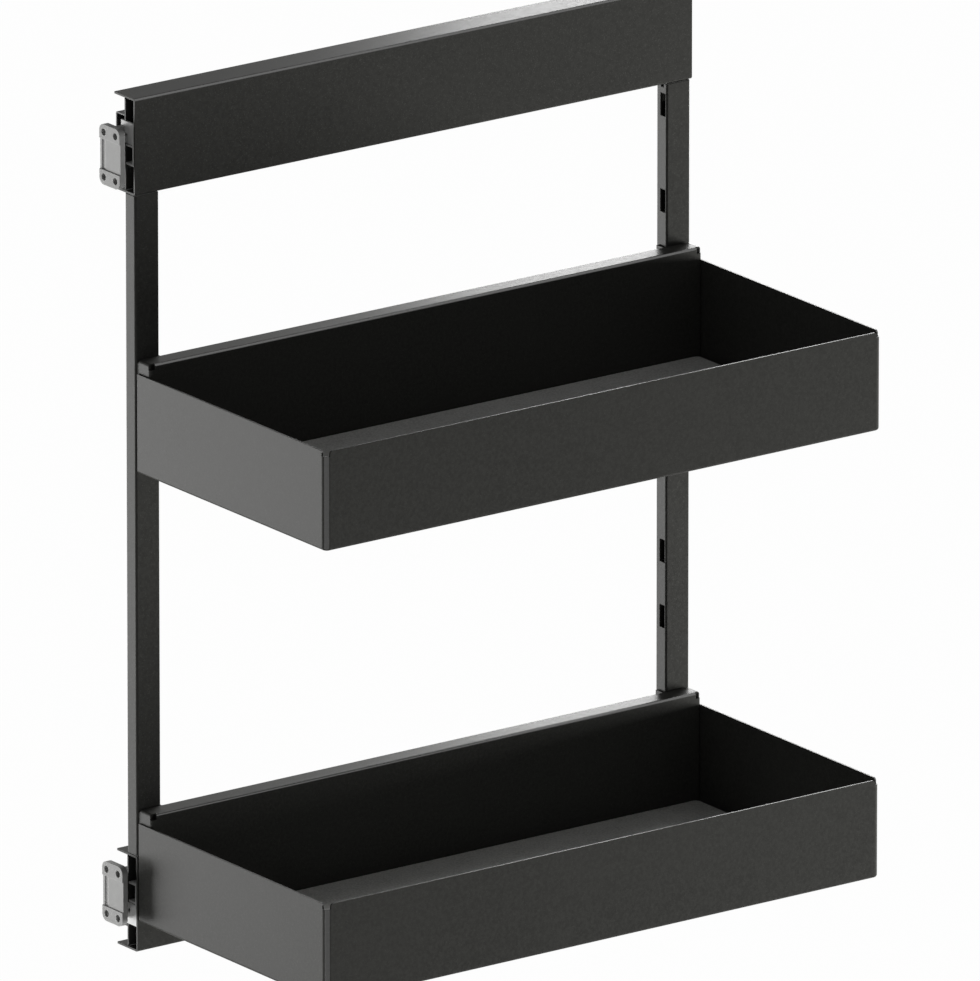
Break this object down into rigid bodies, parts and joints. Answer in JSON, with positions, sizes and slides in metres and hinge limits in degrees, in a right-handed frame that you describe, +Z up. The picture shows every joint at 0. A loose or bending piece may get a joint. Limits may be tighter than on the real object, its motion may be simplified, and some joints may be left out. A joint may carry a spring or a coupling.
{
  "type": "pull-out cabinet organizer",
  "caption": "Side-mounted pull-out frame with two open sheet-metal trays, full-extension ball slides and door brackets.",
  "frame": {"origin": "centre of the screw pattern, on the plane where the cabinet members lie on the cabinet's side wall", "axes": "+X along the rails into the cabinet, the frame pulls out along -X; +Y from the trays to the cabinet's side wall; +Z up"},
  "size_m": [0.4843, 0.2467, 0.612],
  "materials": {
    "powder_coat": "fine matte powder coat",
    "slide_black": "black coated steel",
    "zinc": "satin zinc",
    "plated_steel": "zinc plated",
    "ball_steel": "polished",
    "cage_plastic": "matte",
    "rubber": "matte",
    "mat": "matte non-slip",
    "plug_plastic": "satin"
  },
  "bodies": {
    "cabinet_side": {"top_cabinet_member": "slide_black", "top_rear_bumper": "rubber", "bottom_cabinet_member": "slide_black", "bottom_rear_bumper": "rubber"},
    "frame": {"top_rail_cover": "powder_coat", "top_rail_channel": "powder_coat", "top_frame_member": "slide_black", "top_member_screws": "plated_steel", "top_bracket_arm": "zinc", "top_bracket_carrier": "zinc", "top_bracket_rivets": "plated_steel", "bottom_rail_cover": "powder_coat", "bottom_rail_channel": "powder_coat", "bottom_frame_member": "slide_black", "bottom_member_screws": "plated_steel", "bottom_bracket_arm": "zinc", "bottom_bracket_carrier": "zinc", "bottom_bracket_rivets": "plated_steel", "front_upright": "powder_coat", "rear_upright": "powder_coat", "upright_plugs": "plug_plastic", "frame_screws": "plated_steel"},
    "top_intermediate": {"top_intermediate_member": "slide_black"},
    "top_outer_cage": {"top_outer_ball_cage": "cage_plastic", "top_outer_balls": "ball_steel"},
    "top_inner_cage": {"top_inner_ball_cage": "cage_plastic", "top_inner_balls": "ball_steel"},
    "top_plate": {"top_door_plate": "zinc"},
    "bottom_intermediate": {"bottom_intermediate_member": "slide_black"},
    "bottom_outer_cage": {"bottom_outer_ball_cage": "cage_plastic", "bottom_outer_balls": "ball_steel"},
    "bottom_inner_cage": {"bottom_inner_ball_cage": "cage_plastic", "bottom_inner_balls": "ball_steel"},
    "bottom_plate": {"bottom_door_plate": "zinc"},
    "upper_tray": {"upper_tray_shell": "powder_coat", "upper_tray_back_panel": "powder_coat", "upper_tray_mat": "mat", "upper_tray_front_hanger": "powder_coat", "upper_tray_rear_hanger": "powder_coat"},
    "lower_tray": {"lower_tray_shell": "powder_coat", "lower_tray_back_panel": "powder_coat", "lower_tray_mat": "mat", "lower_tray_front_hanger": "powder_coat", "lower_tray_rear_hanger": "powder_coat"}
  },
  "joints": [
    {"name": "pull_out", "type": "slide", "parent": "cabinet_side", "child": "frame", "axis": [-1, 0, 0], "range_m": [0, 0.44]},
    {"name": "top_intermediate_slide", "type": "slide", "parent": "cabinet_side", "child": "top_intermediate", "axis": [-1, 0, 0], "range_m": [0, 0.22]},
    {"name": "top_outer_cage_slide", "type": "slide", "parent": "cabinet_side", "child": "top_outer_cage", "axis": [-1, 0, 0], "range_m": [0, 0.11]},
    {"name": "top_inner_cage_slide", "type": "slide", "parent": "cabinet_side", "child": "top_inner_cage", "axis": [-1, 0, 0], "range_m": [0, 0.33]},
    {"name": "top_plate_adjust", "type": "slide", "parent": "frame", "child": "top_plate", "axis": [0, 1, 0], "range_m": [-0.0015, 0.0015]},
    {"name": "bottom_intermediate_slide", "type": "slide", "parent": "cabinet_side", "child": "bottom_intermediate", "axis": [-1, 0, 0], "range_m": [0, 0.22]},
    {"name": "bottom_outer_cage_slide", "type": "slide", "parent": "cabinet_side", "child": "bottom_outer_cage", "axis": [-1, 0, 0], "range_m": [0, 0.11]},
    {"name": "bottom_inner_cage_slide", "type": "slide", "parent": "cabinet_side", "child": "bottom_inner_cage", "axis": [-1, 0, 0], "range_m": [0, 0.33]},
    {"name": "bottom_plate_adjust", "type": "slide", "parent": "frame", "child": "bottom_plate", "axis": [0, 1, 0], "range_m": [-0.0015, 0.0015]},
    {"name": "upper_tray_lift", "type": "slide", "parent": "frame", "child": "upper_tray", "axis": [0, 0, 1], "range_m": [0, 0.008]},
    {"name": "lower_tray_lift", "type": "slide", "parent": "frame", "child": "lower_tray", "axis": [0, 0, 1], "range_m": [0, 0.008]}
  ],
  "couplings": [
    {"joint": "top_intermediate_slide", "follows": "pull_out", "ratio": 0.5},
    {"joint": "top_outer_cage_slide", "follows": "pull_out", "ratio": 0.25},
    {"joint": "top_inner_cage_slide", "follows": "pull_out", "ratio": 0.75},
    {"joint": "bottom_intermediate_slide", "follows": "pull_out", "ratio": 0.5},
    {"joint": "bottom_outer_cage_slide", "follows": "pull_out", "ratio": 0.25},
    {"joint": "bottom_inner_cage_slide", "follows": "pull_out", "ratio": 0.75}
  ]
}
